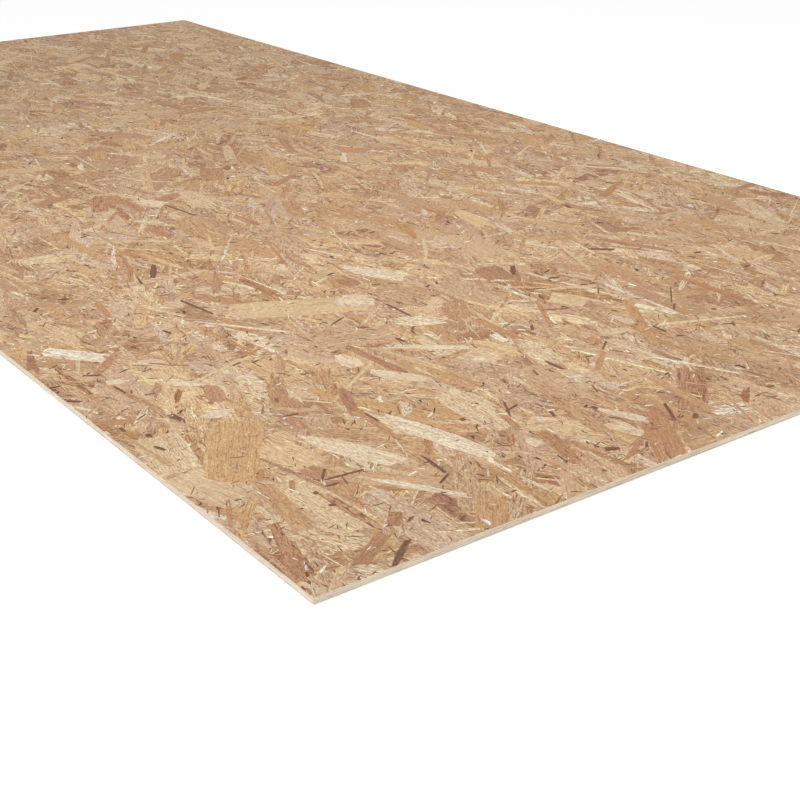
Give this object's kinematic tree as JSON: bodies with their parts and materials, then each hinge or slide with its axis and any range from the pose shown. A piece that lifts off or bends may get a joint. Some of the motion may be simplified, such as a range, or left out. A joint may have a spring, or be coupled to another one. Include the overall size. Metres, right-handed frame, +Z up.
{
  "type": "oriented strand board panel",
  "caption": "Flat rectangular oriented strand board sheet with square sawn edges, for sheathing, underlayment, lining or packing.",
  "frame": {"origin": "under the middle of the sheet, on its lower face", "axes": "+Z up through the thickness, +Y along the length and the face strands, +X across the width"},
  "size_m": [1.2192, 2.4384, 0.0063],
  "materials": {
    "strand_board": "pressed wood strands bound with resin, unsanded, matt, with pale sawn edges"
  },
  "bodies": {
    "root": {"osb_panel": "strand_board"}
  },
  "joints": []
}
